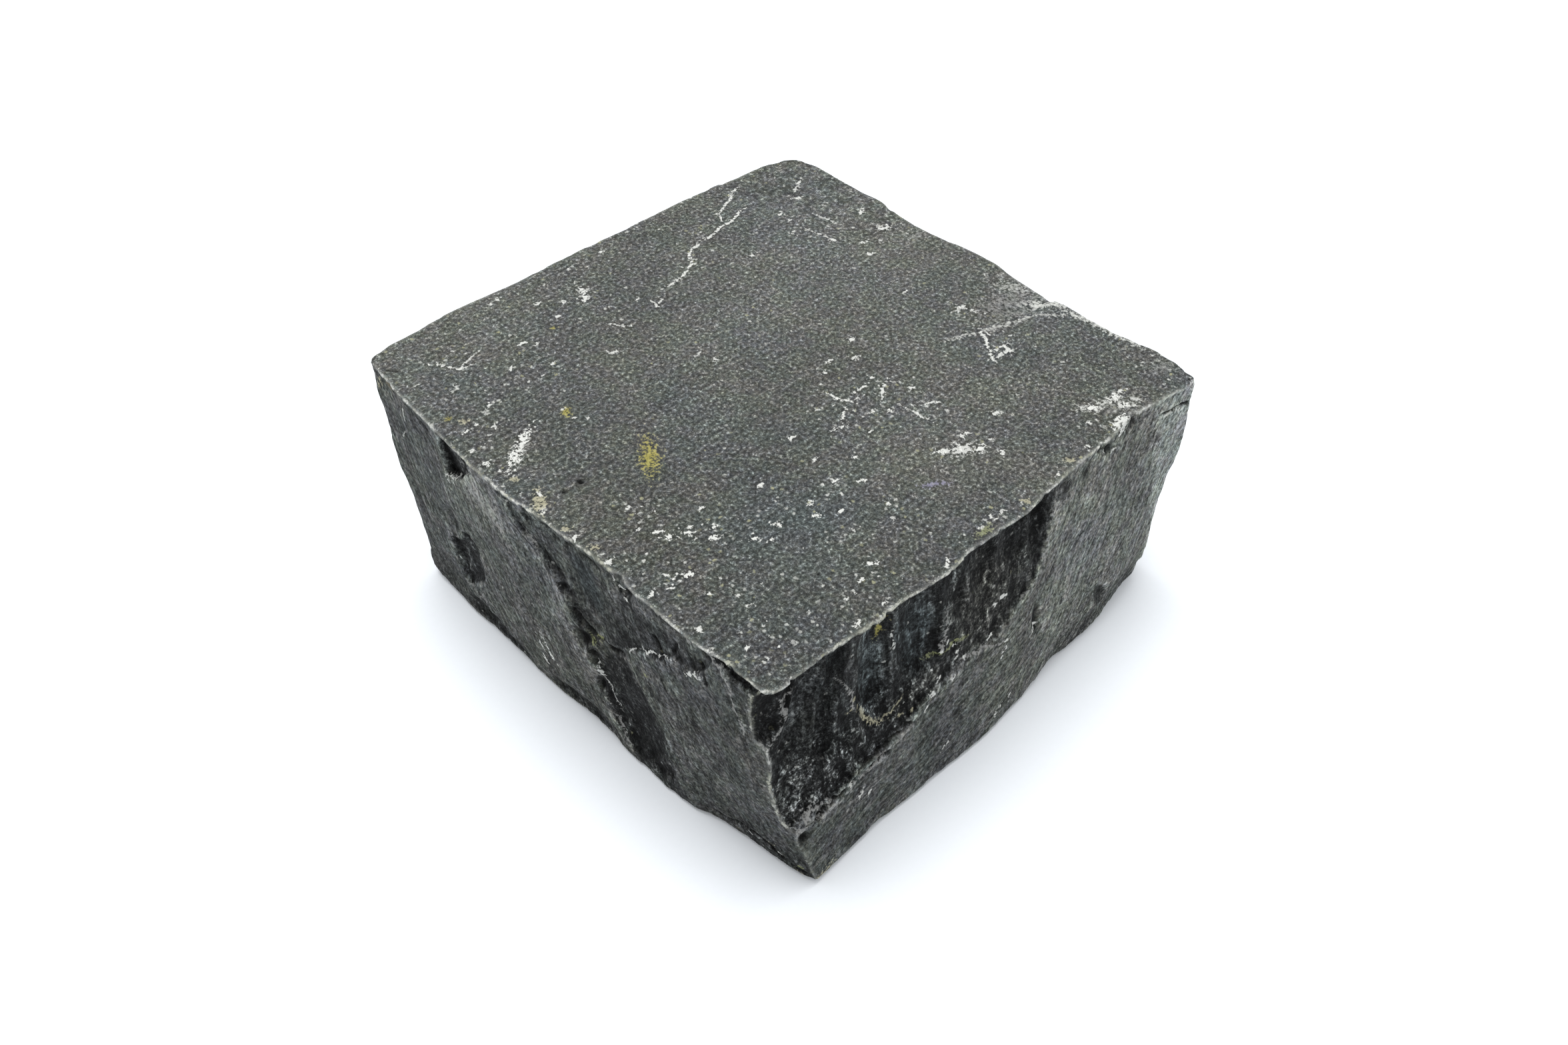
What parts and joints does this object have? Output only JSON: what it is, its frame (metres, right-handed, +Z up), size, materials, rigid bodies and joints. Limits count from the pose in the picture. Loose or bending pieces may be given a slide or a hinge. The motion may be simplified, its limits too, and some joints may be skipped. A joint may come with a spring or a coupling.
{
  "type": "bluestone cobble",
  "caption": "Squat split-stone paving cobble in dark grey bluestone, honed on top and hand-split on its sides, resting on the flat middle of its underside.",
  "frame": {"origin": "on the floor plane, under the middle of the stone's overall box", "axes": "+Z up, out of the honed top; +X towards the back right side and +Y towards the back left side as the stone is pictured"},
  "size_m": [0.1089, 0.1055, 0.0501],
  "materials": {
    "stone": "fine-grained dark grey stone: honed, slightly dusty top; matt split sides with darker fresh flake scars, crushed pale arrises and small chalky marks"
  },
  "bodies": {
    "root": {"cobble": "stone"}
  },
  "joints": []
}
